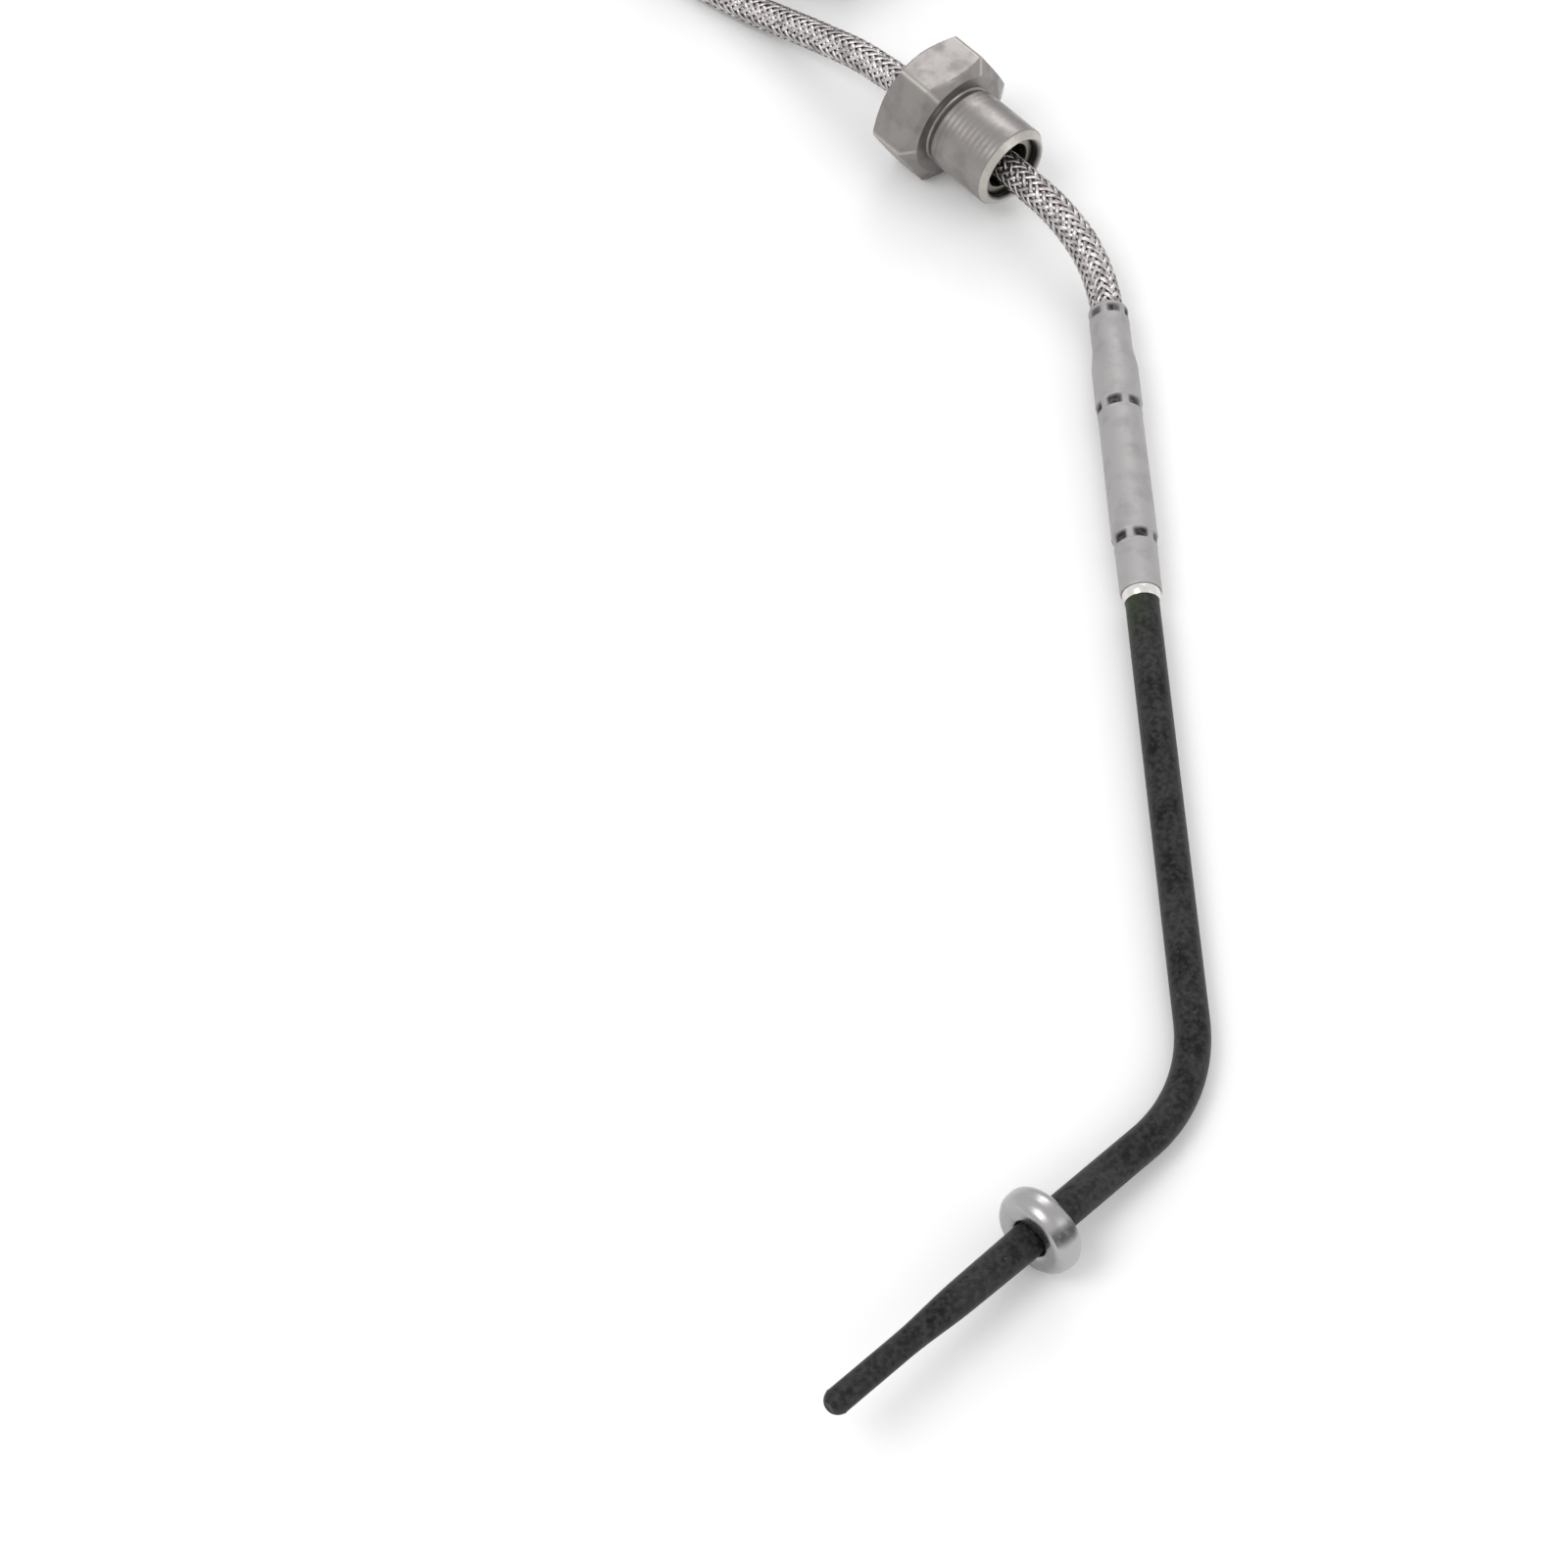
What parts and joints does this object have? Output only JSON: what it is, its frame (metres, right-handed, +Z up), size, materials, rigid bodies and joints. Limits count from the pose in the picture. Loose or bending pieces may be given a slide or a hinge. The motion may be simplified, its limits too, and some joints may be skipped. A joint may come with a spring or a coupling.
{
  "type": "exhaust gas temperature probe",
  "caption": "Bent metal-sheathed temperature probe with sealing collar, crimped transition sleeve, loose union nut, braided lead and small two-way plug.",
  "frame": {"origin": "centre of the underside of the box round the probe and its nut, on the surface it lies on", "axes": "+Z up from that surface, +Y along the box's long side from the sensing tip towards the lead, +X across"},
  "size_m": [0.1112, 0.3214, 0.02],
  "materials": {
    "oxidised_steel": "heat-oxidised, dark, satin",
    "collar_steel": "turned, satin",
    "sleeve_steel": "satin",
    "bright_steel": "polished",
    "nut_steel": "satin, slightly stained",
    "braid_steel": "woven wire braid",
    "mineral": "pressed powder",
    "cement": "matt",
    "bead_glass": "glazed bead",
    "nickel_wire": "drawn wire",
    "splice_brass": "plain",
    "white_insulator": "fired, matt",
    "wire_insulation": "extruded",
    "seal_rubber": "moulded",
    "housing_plastic": "moulded, fine texture",
    "lock_plastic": "moulded",
    "boot_rubber": "moulded",
    "tie_plastic": "moulded",
    "terminal_tin": "tinned"
  },
  "bodies": {
    "probe": {"stem_tube": "oxidised_steel", "tip_sheath": "oxidised_steel", "tip_cap": "oxidised_steel", "mineral_core": "mineral", "element_bead": "bead_glass", "tip_filler": "cement", "collar": "collar_steel", "crimp_sleeve": "sleeve_steel", "stem_bush": "bright_steel", "insulator": "white_insulator", "lead_seal": "seal_rubber", "braid_ferrule": "bright_steel", "lead": "braid_steel", "lead_coil": "braid_steel", "lead_tail": "braid_steel", "coil_tie": "tie_plastic", "connector_boot": "boot_rubber", "lead_end_ferrule": "bright_steel", "connector_housing": "housing_plastic", "wire_seal": "seal_rubber", "nose_seal": "seal_rubber", "conductor_a": "nickel_wire", "splice_a": "splice_brass", "lead_wire_a": "wire_insulation", "tail_wire_a": "wire_insulation", "terminal_a": "terminal_tin", "conductor_b": "nickel_wire", "splice_b": "splice_brass", "lead_wire_b": "wire_insulation", "tail_wire_b": "wire_insulation", "terminal_b": "terminal_tin"},
    "thrust_ring": {"thrust_ring": "bright_steel"},
    "union_nut": {"union_nut": "nut_steel"},
    "secondary_lock": {"secondary_lock": "lock_plastic"},
    "latch_lever": {"latch_lever": "housing_plastic"}
  },
  "joints": [
    {"name": "nut_slide", "type": "slide", "parent": "probe", "child": "thrust_ring", "axis": [0.6561, -0.7547, 0], "range_m": [-0.004, 0.005]},
    {"name": "nut_spin", "type": "hinge", "parent": "thrust_ring", "child": "union_nut", "pos_m": [0.00508, 0.0921, 0.01], "axis": [0.6561, -0.7547, 0], "continuous": true},
    {"name": "lock_pull", "type": "slide", "parent": "probe", "child": "secondary_lock", "axis": [1, 0, 0], "range_m": [0, 0.002]},
    {"name": "latch_press", "type": "hinge", "parent": "probe", "child": "latch_lever", "pos_m": [0.032, 0.1979, 0.0146], "axis": [0, -1, 0], "range_deg": [0, 9], "stiffness_Nm_per_rad": 0.05}
  ]
}
